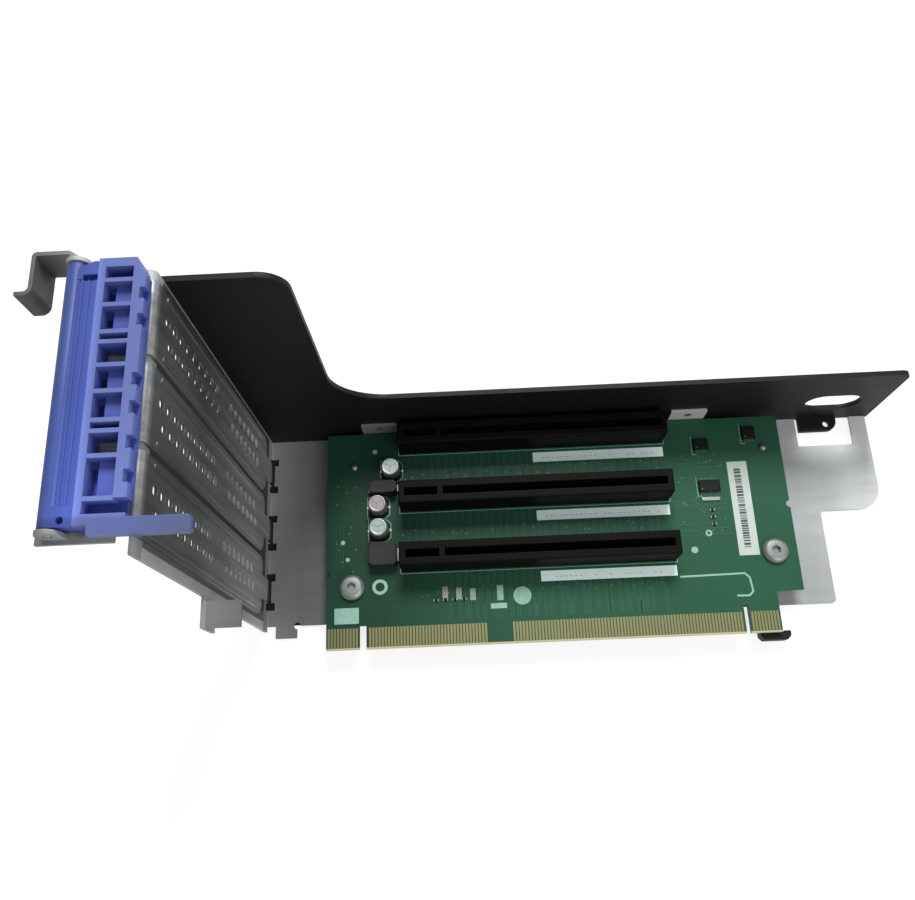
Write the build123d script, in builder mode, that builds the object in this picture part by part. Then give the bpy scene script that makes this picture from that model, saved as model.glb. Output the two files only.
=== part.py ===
# A riser card for a rack server: a slotted board on a folded steel cage, with a black top cover,
# three vented filler brackets on the rear wall and a hinged retention latch over their tabs.
#
# Frame: the cage lies on its back plate. x runs along the gold edge from the rear wall's outer face,
# y runs from the gold tips towards the top cover, z runs up out of the board from the back plate's
# underside. All lengths are millimetres.

import os
from build123d import *

os.makedirs("parts", exist_ok=True)

# Folded steel cage
sheet = 1.0
bend_inside = 0.6
near = 0.01
plate_beyond = 12.7
plate_low = 9.5
ear_length = 21.0
ear_low = 40.5
ear_corner = 8.0
plate_corner = 1.5
window_clear = 0.9
window_length = 19.0
window_low = 63.8
wall_low = 7.8
wall_high = 74.0
shelf_top = 119.0
shelf_reach = 19.5
shelf_low = 10.5
shelf_notch_length = 3.0
shelf_notch_depth = 2.8
foot_start = 4.0
foot_length = 7.0
foot_drop = 4.0
relief_radius = 1.1

# Lug at the foot of the rear wall
lug_low = -0.2
lug_high = 6.7
lug_z = 69.0
lug_depth = 10.0
lug_reach = 9.5

# Board and its slots
board_start = 22.0
board_tail = 39.6
board_top = 72.6
board_thickness = 1.6
edge_step = 8.7
shoulder = 13.0
key_centre = 11.8
key_width = 2.2
key_depth = 7.4
key_2_back = 10.6
key_2_width = 1.4
key_2_depth = 9.0
edge_notch_radius = 1.2
edge_notch_left_y = 24.5
edge_notch_right_y = 41.5
standoff_height = 6.4

slot_pitch = 20.32
slot_middle = 48.2
slot_start = 24.7
slot_length = 89.0
slot_width = 7.6
slot_height = 11.25
groove_width = 2.6
groove_depth = 8.4
groove_end = 2.0
groove_key_at = 13.6
groove_key = 1.9
mouth_chamfer = 0.7
spring_thickness = 0.35
spring_height = 5.6

# Gold fingers
finger_pitch = 1.0
finger_width = 0.7
finger_length = 6.2
finger_thickness = 0.05
finger_inset = 0.5
bare_centre = 55.9
bare_length = 8.3

# Filler brackets and the bays behind them
bay_shift = 6.9
bay_width = 13.5
bay_low = 20.0
bay_high = 113.0
bay_corner = 1.5
filler_thickness = 0.9
filler_width = 18.42
filler_shoulder = 13.0
filler_shoulder_chamfer = 2.4
filler_tab = 12.4
filler_tab_chamfer = 2.0
filler_bead = 0.35
filler_bead_width = 1.0
filler_bead_side = 7.6
notch_radius = 2.2
notch_side = 4.6
tongue_width = 7.0
tongue_side_clear = 0.3
tongue_slit = 1.1
tongue_clear = 0.1
relief_side = 4.9
relief_width = 2.6
relief_reach = 2.4
relief_height = 3.2
vent_radius = 1.7
vent_sides = 6
vent_pitch = 5.0
vent_row = 5.2
vent_stagger = 0.5
upper_vents = 9
upper_vents_centre = 90.0
lower_vents = 7
lower_vents_centre = 41.0

# Retention latch and its hinge
latch_gap = 0.3
latch_low = 12.6
latch_high = 73.2
latch_right = 1.6
latch_height = 5.6
latch_floor = 1.5
latch_corner = 2.2
hinge_x = -15.0
hinge_rise = 3.7
barrel_radius = 2.3
pin_radius = 1.0
pin_clear = 0.08
lug_plate = 1.0
lug_width = 5.4
lug_gap = 0.3
band_step = 1.0
band_groove = 0.3
band_groove_width = 1.0
band_groove_count = 3
band_recess_width = 3.8
band_recess_height = 1.4
band_recess_down = 4.0
band_recess_depth = 1.4
band_hole_radius = 0.8
band_hole_up = 1.4
ridge_width = 1.6
channel_left = -7.4
channel_right = -1.2
channel_end = 2.2
slit_width = 1.8
slit_skin = 0.5
pad_height = 1.7
rib_width = 1.0
bay_pad = (6.1, -6.4)
bay_ribs = (6.1, 0.1, -6.4, -8.8)
bay_slits = [(3.2, 2.8), (-3.4, 3.4)]
bay_notches = (2.6, -3.8)
end_bay_pad = (6.1, -3.0)
end_bay_ribs = (6.1, -3.0)
end_bay_slits = [(1.6, 5.4)]
end_bay_notches = (8.9, 1.6)
rim_notch = 1.2
rim_notch_height = 2.8
rim_notch_floor = 2.6
rim_undercut = 1.2
rim_undercut_height = 1.8
grip_low = 10.5
grip_width = 3.5
grip_start = -6.0
grip_end = 15.0
grip_thickness = 2.6

# Chassis hook
hook_strip = 10.0
hook_step_x = -13.0
hook_top_x = -20.0
hook_rise = 4.7
hook_end_x = -28.7
hook_leg = 10.2
hook_lip = 3.1
hook_bend = 1.2

# Top cover
cover_thickness = 1.6
cover_beyond = 1.0
cover_wing = 29.2
cover_wing_height = 113.3
cover_depth = 36.5
cover_outer_radius = 7.5
cover_inner_radius = 17.0
cover_tip_radius = 3.0
finger_hole_back = 17.2
finger_hole_z = 15.2
finger_hole_length = 18.5
finger_hole_height = 11.6
snap_back = 24.6
snap_length = 13.2
snap_drop = 5.0
snap_radius = 3.6
snap_hole_radius = 1.1
tab_width = 12.0
tab_height = 15.2
tab_1_x = 40.2
tab_2_back = 65.2

# Fasteners and small parts
screw_1_in = 8.3
screw_1_y = 19.7
screw_2_back = 7.4
screw_2_y = 25.8
screw_head_radius = 4.1
screw_head_height = 2.1
screw_recess = 1.2
screw_recess_radius = 1.5
screw_radius = 1.5
screw_length = 4.6
screw_clear = 0.1
board_hole_radius = 1.7
standoff_across = 5.5
pin_1_in = 9.2
pin_1_y = 60.6
pin_2_back = 6.2
pin_2_y = 61.2
locator_base_radius = 2.4
locator_radius = 1.25
locator_rise = 1.4
locator_clear = 0.1
rivet_head_radius = 2.2
rivet_head = 0.8
rivet_radius = 1.2
rivet_z = 12.4
rivet_clear = 0.05
peg_back = 1.1
peg_width = 9.6
peg_tip = -2.0
peg_head = 2.8
peg_head_corner = 1.2
peg_stem_back = 3.0
peg_stem_width = 5.6
peg_length = 23.0
peg_thickness = 5.0
peg_edge = 0.8
peg_rivet_y = 16.0
capacitor_steps = [(3.0, 58.8), (7.5, 46.2), (7.2, 38.3)]
can_radius = 3.0
can_height = 5.0
can_base = 6.6
can_base_corner = 1.6
can_base_height = 0.8
inductor_steps = [(5.7, 52.5, 9.2, 4.4), (6.0, 29.8, 9.2, 7.6)]
inductor_height = 4.2
inductor_corner = 1.0
chip_steps = [(26.8, 63.2, 5.0, 4.0), (10.3, 66.6, 4.4, 4.4), (25.7, 48.6, 7.0, 4.0)]
chip_height = 1.1
chip_edge = 0.25
resistor_length = 1.6
resistor_width = 0.8
resistor_height = 0.5
resistor_row_in = 40.0
resistor_row_y = 14.5
resistor_row_pitch = 3.0
resistor_row_count = 4
resistor_column_back = 25.8
resistor_column_y = 38.0
resistor_column_pitch = 2.4
resistor_column_count = 3
label_back = 18.9
label_low = 24.8
label_width = 6.6
label_height = 32.0
label_thickness = 0.1
strip_length = 44.0
strip_width = 3.4
strip_drop = 7.0
strip_thickness = 0.08

# Heights and places that several pieces share
bend_outside = bend_inside + sheet
board_back = sheet + standoff_height
board_face = board_back + board_thickness
slot_rows = [slot_middle + slot_pitch, slot_middle, slot_middle - slot_pitch]
bay_rows = [row - bay_shift for row in slot_rows]
slot_x = board_start + slot_start
slot_centre = slot_x + slot_length / 2
board_length = slot_start + slot_length + board_tail
board_end = board_start + board_length
edge_length = board_length - edge_step
key_2_centre = edge_length - key_2_back
plate_length = board_end + plate_beyond
plate_end = plate_length + ear_length
cover_length = plate_end + cover_beyond
snap_start = cover_length - snap_back
window_start = snap_start - window_clear
screws = [(board_start + screw_1_in, screw_1_y), (board_end - screw_2_back, screw_2_y)]
pins = [(board_start + pin_1_in, pin_1_y), (board_end - pin_2_back, pin_2_y)]
peg_x = board_start + edge_length - peg_back
peg_stem_x = peg_x - peg_stem_back
capacitors = [(slot_x - back, y) for back, y in capacitor_steps]
tab_top = shelf_top + filler_thickness
latch_bottom = tab_top + latch_gap
latch_top = latch_bottom + latch_height
hinge_z = shelf_top + hinge_rise
shelf_high = wall_high + 2 * sheet
cover_top = wall_high + cover_thickness
tab_places = [(tab_1_x, rivet_z), (cover_length - tab_2_back, rivet_z)]


# The cage is one folded sheet: back plate, rear wall, latch shelf, chassis hook, cover tabs and lugs.
with BuildPart() as cage:
    with BuildSketch(Plane.XY):
        with BuildLine():
            Polyline(
                (0, plate_low),
                (foot_start, plate_low),
                (foot_start, plate_low - foot_drop),
                (foot_start + foot_length, plate_low - foot_drop),
                (foot_start + foot_length, plate_low),
                (plate_length, plate_low),
                (plate_length, ear_low),
                (plate_end, ear_low),
                (plate_end, wall_high),
                (0, wall_high),
                close=True,
            )
        make_face()
        with Locations((foot_start + foot_length, plate_low)):
            Circle(relief_radius, mode=Mode.SUBTRACT)
        with Locations((window_start + window_length / 2, (window_low + wall_high) / 2)):
            Rectangle(window_length, wall_high - window_low, mode=Mode.SUBTRACT)
    extrude(amount=sheet)
    ear_corners = cage.edges().filter_by(Axis.Z).group_by(Axis.X)[-1].group_by(Axis.Y)[0]
    fillet(ear_corners, ear_corner)
    fillet(
        cage.edges().filter_by(Axis.Z).filter_by_position(Axis.X, plate_length - near, plate_length + near),
        plate_corner,
    )

    # Rear wall, standing on the plate's left edge
    with BuildSketch(Plane.YZ):
        with BuildLine():
            Polyline(
                (wall_low, 0),
                (wall_low, lug_z - lug_depth),
                (lug_low, lug_z - lug_depth),
                (lug_low, lug_z),
                (wall_low, lug_z),
                (wall_low, shelf_top),
                (wall_high, shelf_top),
                (wall_high, 0),
                close=True,
            )
        make_face()
    extrude(amount=sheet)

    # Shelf under the bracket tabs
    with BuildSketch(Plane.XY.offset(shelf_top)):
        with BuildLine():
            Polyline(
                (sheet, shelf_low + shelf_notch_depth),
                (-shelf_notch_length, shelf_low + shelf_notch_depth),
                (-shelf_notch_length, shelf_low),
                (-shelf_reach, shelf_low),
                (-shelf_reach, shelf_high),
                (-shelf_notch_length, shelf_high),
                (-shelf_notch_length, wall_high),
                (sheet, wall_high),
                close=True,
            )
        make_face()
    extrude(amount=-sheet)

    # Folds of wall to plate and wall to shelf, outside and then inside
    fillet(
        cage.edges().filter_by(Axis.Y).filter_by_position(Axis.X, -near, near).group_by(Axis.Z)[0],
        bend_outside,
    )
    fillet(
        cage.edges().filter_by(Axis.Y).filter_by_position(Axis.X, sheet - near, sheet + near)
        .group_by(Axis.Z)[-1],
        bend_outside,
    )
    for fold_x, fold_z in [(sheet, sheet), (0, shelf_top - sheet)]:
        fillet(
            cage.edges().filter_by(Axis.Y).filter_by_position(Axis.X, fold_x - near, fold_x + near)
            .filter_by_position(Axis.Z, fold_z - near, fold_z + near),
            bend_inside,
        )

    # Flange that turns down from the shelf and runs on as the chassis hook
    with BuildSketch(Plane.XY.offset(shelf_top - sheet)):
        with BuildLine():
            FilletPolyline(
                (-shelf_notch_length, shelf_high),
                (hook_step_x, shelf_high),
                (hook_top_x, shelf_high + hook_rise),
                (hook_end_x, shelf_high + hook_rise),
                (hook_end_x, shelf_high + hook_rise - hook_leg),
                (hook_end_x - hook_lip, shelf_high + hook_rise - hook_leg),
                radius=hook_bend,
            )
            offset(amount=sheet, side=Side.LEFT)
        make_face()
    extrude(amount=-hook_strip)

    # Lugs that carry the latch pin, lanced out of the shelf
    with BuildSketch(Plane.XZ.offset(-(latch_low - lug_gap))):
        with Locations((hinge_x, (shelf_top + hinge_z) / 2)):
            Rectangle(lug_width, hinge_z - shelf_top)
        with Locations((hinge_x, hinge_z)):
            Circle(lug_width / 2)
    extrude(amount=lug_plate)
    with BuildSketch(Plane.XZ.offset(-(latch_high + lug_gap))):
        with Locations((hinge_x, (shelf_top + hinge_z) / 2)):
            Rectangle(lug_width, hinge_z - shelf_top)
        with Locations((hinge_x, hinge_z)):
            Circle(lug_width / 2)
    extrude(amount=-lug_plate)
    with BuildSketch(Plane.XZ):
        with Locations((hinge_x, hinge_z)):
            Circle(pin_radius)
    extrude(amount=-shelf_high, mode=Mode.SUBTRACT)

    # Tabs that rise from the plate's top edge and carry the cover
    with BuildSketch(Plane.XZ.offset(-wall_high)):
        for x, _ in tab_places:
            with Locations((x, tab_height / 2)):
                Rectangle(tab_width, tab_height)
    extrude(amount=sheet)
    with BuildSketch(Plane.XZ.offset(-wall_high)):
        with Locations(*tab_places):
            Circle(rivet_radius + rivet_clear)
    extrude(amount=2 * sheet, mode=Mode.SUBTRACT)

    # Ear folded in from the wall's lug
    with BuildSketch(Plane.XY.offset(lug_z)):
        with Locations((sheet, lug_low)):
            Rectangle(lug_reach, lug_high - lug_low, align=(Align.MIN, Align.MIN))
    extrude(amount=-sheet)

    # Bays, and a slit for each bracket's tongue between two relief holes
    with BuildSketch(Plane.YZ) as bays:
        for row in bay_rows:
            with Locations((row, (bay_low + bay_high) / 2)):
                Rectangle(bay_width, bay_high - bay_low)
        chamfer(bays.vertices(), bay_corner)
    extrude(amount=sheet, mode=Mode.SUBTRACT)
    with BuildSketch(Plane.XY):
        for row in bay_rows:
            with Locations((sheet, row)):
                Rectangle(tongue_slit, tongue_width + 2 * tongue_side_clear, align=(Align.MIN, Align.CENTER))
    extrude(amount=bend_outside, mode=Mode.SUBTRACT)
    with BuildSketch(Plane.YZ):
        for row in bay_rows:
            with Locations((row - relief_side, relief_height / 2), (row + relief_side, relief_height / 2)):
                Rectangle(relief_width, relief_height)
    extrude(amount=sheet + relief_reach, mode=Mode.SUBTRACT)

    # Holes that clear the peg's rivet
    with Locations((peg_stem_x, peg_rivet_y, sheet / 2)):
        Cylinder(rivet_radius + rivet_clear, sheet, mode=Mode.SUBTRACT)
cage.part.label = "cage"
export_step(cage.part, "parts/cage.step")

# Black cover along the top: a wing beside the brackets and a narrow run along the board.
with BuildPart() as top_cover:
    with BuildSketch(Plane.XZ.offset(-wall_high)) as cover_outline:
        with BuildLine():
            Polyline(
                (0, 0),
                (0, cover_wing_height),
                (cover_wing, cover_wing_height),
                (cover_wing, cover_depth),
                (cover_length, cover_depth),
                (cover_length, 0),
                close=True,
            )
        make_face()
        fillet(cover_outline.vertices().sort_by_distance((cover_wing, cover_wing_height))[0],
               cover_outer_radius)
        fillet(cover_outline.vertices().sort_by_distance((cover_wing, cover_depth))[0],
               cover_inner_radius)
        fillet(cover_outline.vertices().sort_by_distance((cover_length, cover_depth))[0],
               cover_tip_radius)
        with Locations((cover_length - finger_hole_back, finger_hole_z)):
            SlotOverall(finger_hole_length, finger_hole_height, mode=Mode.SUBTRACT)
        with Locations(*tab_places):
            Circle(rivet_radius + rivet_clear, mode=Mode.SUBTRACT)
    extrude(amount=-cover_thickness)

    # Snap tongue that drops into the back plate's window
    with BuildSketch(Plane.XY):
        with Locations((snap_start, wall_high - snap_drop)):
            Rectangle(snap_length, snap_drop, align=(Align.MIN, Align.MIN))
        with Locations((snap_start + snap_length - snap_radius, wall_high - snap_drop / 2)):
            Circle(snap_hole_radius, mode=Mode.SUBTRACT)
    extrude(amount=cover_thickness)
    fillet(
        top_cover.edges().filter_by(Axis.Z).filter_by_position(Axis.Y, 0, wall_high - near)
        .sort_by(Axis.X)[-1],
        snap_radius,
    )
top_cover.part.label = "top_cover"
export_step(top_cover.part, "parts/top_cover.step")

# Green board with a gold edge that plugs into the server's main board
with BuildPart() as riser_board:
    with BuildSketch(Plane.XY.offset(board_back)):
        with BuildLine():
            Polyline(
                (board_start, 0),
                (board_start, board_top),
                (board_end, board_top),
                (board_end, shoulder),
                (board_start + edge_length, shoulder),
                (board_start + edge_length, 0),
                close=True,
            )
        make_face()
        with Locations((board_start + key_centre, 0)):
            Rectangle(key_width, key_depth, align=(Align.CENTER, Align.MIN), mode=Mode.SUBTRACT)
        with Locations((board_start + key_2_centre, 0)):
            Rectangle(key_2_width, key_2_depth, align=(Align.CENTER, Align.MIN), mode=Mode.SUBTRACT)
        with Locations(*screws):
            Circle(board_hole_radius, mode=Mode.SUBTRACT)
        with Locations(*pins):
            Circle(locator_radius + locator_clear, mode=Mode.SUBTRACT)
        with Locations((board_start, edge_notch_left_y), (board_end, edge_notch_right_y)):
            Circle(edge_notch_radius, mode=Mode.SUBTRACT)
    extrude(amount=board_thickness)
riser_board.part.label = "riser_board"
export_step(riser_board.part, "parts/riser_board.step")

# Gold fingers on the face, in three runs between the notches, with a bare place in the long run, and a band for
# each run on the back
runs = [
    (finger_inset, key_centre - key_width / 2 - finger_inset),
    (key_centre + key_width / 2 + finger_inset, key_2_centre - key_2_width / 2 - finger_inset),
    (key_2_centre + key_2_width / 2 + finger_inset, edge_length - finger_inset),
]
finger_places = []
for start, end in runs:
    count = int((end - start - finger_width) / finger_pitch) + 1
    margin = (end - start - finger_width - (count - 1) * finger_pitch) / 2
    for index in range(count):
        place = start + margin + finger_width / 2 + index * finger_pitch
        if abs(place - bare_centre) > bare_length / 2:
            finger_places.append(board_start + place)
with BuildPart() as edge_contacts_front:
    with BuildSketch(Plane.XY.offset(board_face)):
        with Locations(*[(x, finger_inset) for x in finger_places]):
            Rectangle(finger_width, finger_length, align=(Align.CENTER, Align.MIN))
    extrude(amount=finger_thickness)
edge_contacts_front.part.label = "edge_contacts_front"
export_step(edge_contacts_front.part, "parts/edge_contacts_front.step")

with BuildPart() as edge_contacts_back:
    with BuildSketch(Plane.XY.offset(board_back)):
        for start, end in runs:
            with Locations((board_start + start, finger_inset)):
                Rectangle(end - start, finger_length, align=(Align.MIN, Align.MIN))
    extrude(amount=-finger_thickness)
edge_contacts_back.part.label = "edge_contacts_back"
export_step(edge_contacts_back.part, "parts/edge_contacts_back.step")

# Three card slots, each with a row of contact springs along both sides of its groove as one plain strip
groove_floor = board_face + slot_height - groove_depth
for number, row in enumerate(slot_rows, start=1):
    with BuildPart() as slot:
        with BuildSketch(Plane.XY.offset(board_face)):
            with Locations((slot_centre, row)):
                Rectangle(slot_length, slot_width)
        extrude(amount=slot_height)
        chamfer(slot.faces().sort_by(Axis.Z)[-1].edges(), mouth_chamfer / 2)
        short_run = groove_key_at - groove_key / 2 - groove_end
        long_run = slot_length - groove_key_at - groove_key / 2 - groove_end
        with BuildSketch(Plane.XY.offset(board_face + slot_height)):
            with Locations((slot_x + groove_end, row)):
                Rectangle(short_run, groove_width, align=(Align.MIN, Align.CENTER))
            with Locations((slot_x + groove_key_at + groove_key / 2, row)):
                Rectangle(long_run, groove_width, align=(Align.MIN, Align.CENTER))
        extrude(amount=-groove_depth, mode=Mode.SUBTRACT)
    slot.part.label = f"slot_{number}"
    export_step(slot.part, f"parts/slot_{number}.step")

    with BuildPart() as springs:
        with BuildSketch(Plane.XY.offset(groove_floor)):
            for side in (-1, 1):
                with Locations((slot_x + groove_end, row + side * (groove_width - spring_thickness) / 2)):
                    Rectangle(short_run, spring_thickness, align=(Align.MIN, Align.CENTER))
                with Locations((slot_x + groove_end + short_run + groove_key,
                                row + side * (groove_width - spring_thickness) / 2)):
                    Rectangle(long_run, spring_thickness, align=(Align.MIN, Align.CENTER))
        extrude(amount=spring_height)
    springs.part.label = f"slot_{number}_contacts"
    export_step(springs.part, f"parts/slot_{number}_contacts.step")

# Vented filler brackets: a flat strip on the wall, a tab over the shelf and a tongue in the plate
for number, row in enumerate(bay_rows, start=1):
    inside = sheet + filler_thickness
    with BuildPart() as filler:
        with BuildSketch(Plane.YZ.offset(sheet)):
            with Locations((row, filler_shoulder)):
                Rectangle(filler_width, tab_top - filler_shoulder, align=(Align.CENTER, Align.MIN))
            with Locations((row, tongue_clear)):
                Rectangle(tongue_width, filler_shoulder, align=(Align.CENTER, Align.MIN))
        extrude(amount=filler_thickness)
        chamfer(
            filler.edges().filter_by(Axis.X)
            .filter_by_position(Axis.Z, filler_shoulder - near, filler_shoulder + near)
            .filter_by(lambda edge: abs(edge.center().Y - row) > tongue_width / 2 + sheet),
            filler_shoulder_chamfer,
        )
        with BuildSketch(Plane.XY.offset(shelf_top)):
            with Locations((inside, row)):
                Rectangle(inside + filler_tab, filler_width, align=(Align.MAX, Align.CENTER))
        extrude(amount=filler_thickness)
        fillet(
            filler.edges().filter_by(Axis.Y).filter_by_position(Axis.X, inside - near, inside + near)
            .group_by(Axis.Z)[-1],
            bend_inside + filler_thickness,
        )
        fillet(
            filler.edges().filter_by(Axis.Y).filter_by_position(Axis.X, sheet - near, sheet + near)
            .filter_by_position(Axis.Z, shelf_top - near, shelf_top + near),
            bend_inside,
        )
        chamfer(filler.edges().filter_by(Axis.Z).group_by(Axis.X)[0], filler_tab_chamfer)
        with BuildSketch(Plane.XY.offset(tab_top)):
            with Locations((-filler_tab / 2, row + notch_side)):
                Circle(notch_radius)
                Rectangle(2 * notch_radius, filler_width, align=(Align.CENTER, Align.MIN))
        extrude(amount=-filler_thickness, mode=Mode.SUBTRACT)
        with BuildSketch(Plane.YZ.offset(sheet)):
            for centre, count in [(upper_vents_centre, upper_vents), (lower_vents_centre, lower_vents)]:
                for side in (-1, 1):
                    drop = side * vent_stagger * vent_pitch / 2
                    with Locations((row + side * vent_row / 2, centre + drop)):
                        with GridLocations(0, vent_pitch, 1, count):
                            RegularPolygon(vent_radius, vent_sides)
        extrude(amount=filler_thickness, mode=Mode.SUBTRACT)
        with BuildSketch(Plane.YZ.offset(inside)):
            for side in (-1, 1):
                with Locations((row + side * filler_bead_side, (bay_low + bay_high) / 2)):
                    Rectangle(filler_bead_width, bay_high - bay_low)
        extrude(amount=filler_bead)
    filler.part.label = f"filler_bracket_{number}"
    export_step(filler.part, f"parts/filler_bracket_{number}.step")

# Blue latch: a ribbed flap that turns on its barrel and holds the tabs down on the shelf
with BuildPart() as retention_latch:
    with BuildSketch(Plane.XY.offset(latch_bottom)) as latch_outline:
        with BuildLine():
            Polyline(
                (hinge_x, latch_low),
                (hinge_x, latch_high - latch_corner),
                (hinge_x + 2 * latch_corner, latch_high),
                (latch_right - latch_corner, latch_high),
                (latch_right, latch_high - 2 * latch_corner),
                (latch_right, latch_low),
                close=True,
            )
        make_face()
    extrude(amount=latch_height)

    # Lower band beside the hinge, with shallow grooves along it
    band_right = channel_left - ridge_width
    with BuildSketch(Plane.XY.offset(latch_top)):
        with Locations((hinge_x, latch_low)):
            Rectangle(band_right - hinge_x, latch_high - latch_low, align=(Align.MIN, Align.MIN))
    extrude(amount=-band_step, mode=Mode.SUBTRACT)
    with BuildSketch(Plane.XY.offset(latch_top - band_step)):
        with Locations(((hinge_x + band_right) / 2, (latch_low + latch_high) / 2)):
            with GridLocations((band_right - hinge_x) / (band_groove_count + 1), 0, band_groove_count, 1):
                Rectangle(band_groove_width, latch_high - latch_low - 4 * latch_corner)
    extrude(amount=-band_groove, mode=Mode.SUBTRACT)

    # Recess near the band's upper end and a small hole near its lower end
    with BuildSketch(Plane.XY.offset(latch_top - band_step)):
        with Locations((band_right, latch_high - band_recess_down)):
            Rectangle(band_recess_width, band_recess_height, align=(Align.MAX, Align.CENTER))
        with Locations(((hinge_x + band_right) / 2, latch_low + band_hole_up)):
            Circle(band_hole_radius)
    extrude(amount=-band_recess_depth, mode=Mode.SUBTRACT)

    # Channel with a pad, ribs and blind slits in each bay, and a window over each gap between brackets
    latch_bays = [(row, bay_pad, bay_ribs, bay_slits, bay_notches) for row in bay_rows[:-1]]
    latch_bays.append((bay_rows[-1], end_bay_pad, end_bay_ribs, end_bay_slits, end_bay_notches))
    channel_width = channel_right - channel_left
    channel_low = latch_low + channel_end
    channel_high = latch_high - channel_end
    with BuildSketch(Plane.XY.offset(latch_top)):
        with Locations((channel_left, channel_low)):
            Rectangle(channel_width, channel_high - channel_low, align=(Align.MIN, Align.MIN))
        with Locations((latch_right, channel_low)):
            Rectangle(
                latch_right - channel_left,
                bay_rows[-1] + end_bay_ribs[-1] - channel_low,
                align=(Align.MAX, Align.MIN),
            )
    extrude(amount=latch_floor - latch_height, mode=Mode.SUBTRACT)
    with BuildSketch(Plane.XY.offset(latch_bottom + latch_floor)):
        for row, pad, _, _, _ in latch_bays:
            with Locations((channel_right, row + pad[1])):
                Rectangle(channel_width - slit_width, pad[0] - pad[1], align=(Align.MAX, Align.MIN))
    extrude(amount=pad_height)
    with BuildSketch(Plane.XY.offset(latch_bottom + latch_floor)):
        for row, _, ribs, _, _ in latch_bays:
            for rib in ribs:
                with Locations((channel_left, row + rib)):
                    Rectangle(channel_width, rib_width, align=(Align.MIN, Align.CENTER))
    extrude(amount=latch_height - latch_floor)
    with BuildSketch(Plane.XY.offset(latch_bottom + slit_skin)):
        for row, _, _, slits, _ in latch_bays:
            for middle, height in slits:
                with Locations((channel_left, row + middle)):
                    Rectangle(slit_width, height, align=(Align.MIN, Align.CENTER))
    extrude(amount=latch_floor - slit_skin, mode=Mode.SUBTRACT)
    gap_top = bay_ribs[-1] - rib_width / 2
    gap_foot = bay_ribs[0] + rib_width / 2 - slot_pitch
    with BuildSketch(Plane.XY.offset(latch_bottom)):
        for row in bay_rows[:-1]:
            with Locations((channel_left, row + gap_foot)):
                Rectangle(channel_width, gap_top - gap_foot, align=(Align.MIN, Align.MIN))
    extrude(amount=latch_floor, mode=Mode.SUBTRACT)

    # Notches along the outer rim, and the step under it that clears the brackets' folds
    with BuildSketch(Plane.XY.offset(latch_top)):
        for row, _, _, _, notches in latch_bays:
            for notch in notches:
                with Locations((latch_right, row + notch)):
                    Rectangle(rim_notch, rim_notch_height, align=(Align.MAX, Align.CENTER))
    extrude(amount=rim_notch_floor - latch_height, mode=Mode.SUBTRACT)
    with BuildSketch(Plane.XY.offset(latch_bottom)):
        with Locations((latch_right, latch_low)):
            Rectangle(rim_undercut, latch_high - latch_low, align=(Align.MAX, Align.MIN))
    extrude(amount=rim_undercut_height, mode=Mode.SUBTRACT)

    # Finger grip that reaches in over the card space
    with BuildSketch(Plane.XY.offset(latch_top)):
        with Locations((grip_start, grip_low)):
            Rectangle(grip_end - grip_start, grip_width, align=(Align.MIN, Align.MIN))
    extrude(amount=-grip_thickness)
    fillet(retention_latch.edges().filter_by(Axis.Z).group_by(Axis.X)[-1], grip_width / 3)

    # Hinge barrel and its bore
    with BuildSketch(Plane.XZ.offset(-latch_low)):
        with Locations((hinge_x, hinge_z)):
            Circle(barrel_radius)
    extrude(amount=latch_low - latch_high)
    with BuildSketch(Plane.XZ.offset(-latch_low)):
        with Locations((hinge_x, hinge_z)):
            Circle(pin_radius + pin_clear)
    extrude(amount=latch_low - latch_high, mode=Mode.SUBTRACT)
retention_latch.part.label = "retention_latch"
export_step(retention_latch.part, "parts/retention_latch.step")

# Steel pin through both lugs and the latch's barrel
with BuildPart() as latch_pin:
    pin_from = latch_low - lug_gap - lug_plate
    pin_to = latch_high + lug_gap + lug_plate
    with BuildSketch(Plane.XZ.offset(-pin_from)):
        with Locations((hinge_x, hinge_z)):
            Circle(pin_radius)
    extrude(amount=pin_from - pin_to)
latch_pin.part.label = "latch_pin"
export_step(latch_pin.part, "parts/latch_pin.step")

# Screws that hold the board on its standoffs
with BuildPart() as board_screws:
    with BuildSketch(Plane.XY.offset(board_face)):
        with Locations(*screws):
            Circle(screw_head_radius)
    extrude(amount=screw_head_height)
    with BuildSketch(Plane.XY.offset(board_face)):
        with Locations(*screws):
            Circle(screw_radius)
    extrude(amount=-screw_length)
    with BuildSketch(Plane.XY.offset(board_face + screw_head_height)):
        with Locations(*screws):
            RegularPolygon(screw_recess_radius, 6)
    extrude(amount=-screw_recess, mode=Mode.SUBTRACT)
board_screws.part.label = "board_screws"
export_step(board_screws.part, "parts/board_screws.step")

# Hexagonal standoffs on the back plate
with BuildPart() as board_standoffs:
    with BuildSketch(Plane.XY.offset(sheet)):
        with Locations(*screws):
            RegularPolygon(standoff_across / 2, 6, major_radius=False)
    extrude(amount=standoff_height)
    with BuildSketch(Plane.XY.offset(board_back)):
        with Locations(*screws):
            Circle(screw_radius + screw_clear)
    extrude(amount=-standoff_height, mode=Mode.SUBTRACT)
board_standoffs.part.label = "board_standoffs"
export_step(board_standoffs.part, "parts/board_standoffs.step")

# Stepped pins that locate the board's upper corners
with BuildPart() as locating_pins:
    with BuildSketch(Plane.XY.offset(sheet)):
        with Locations(*pins):
            RegularPolygon(locator_base_radius, 6)
    extrude(amount=standoff_height)
    with BuildSketch(Plane.XY.offset(board_back)):
        with Locations(*pins):
            Circle(locator_radius)
    extrude(amount=board_thickness + locator_rise)
locating_pins.part.label = "locating_pins"
export_step(locating_pins.part, "parts/locating_pins.step")

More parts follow.
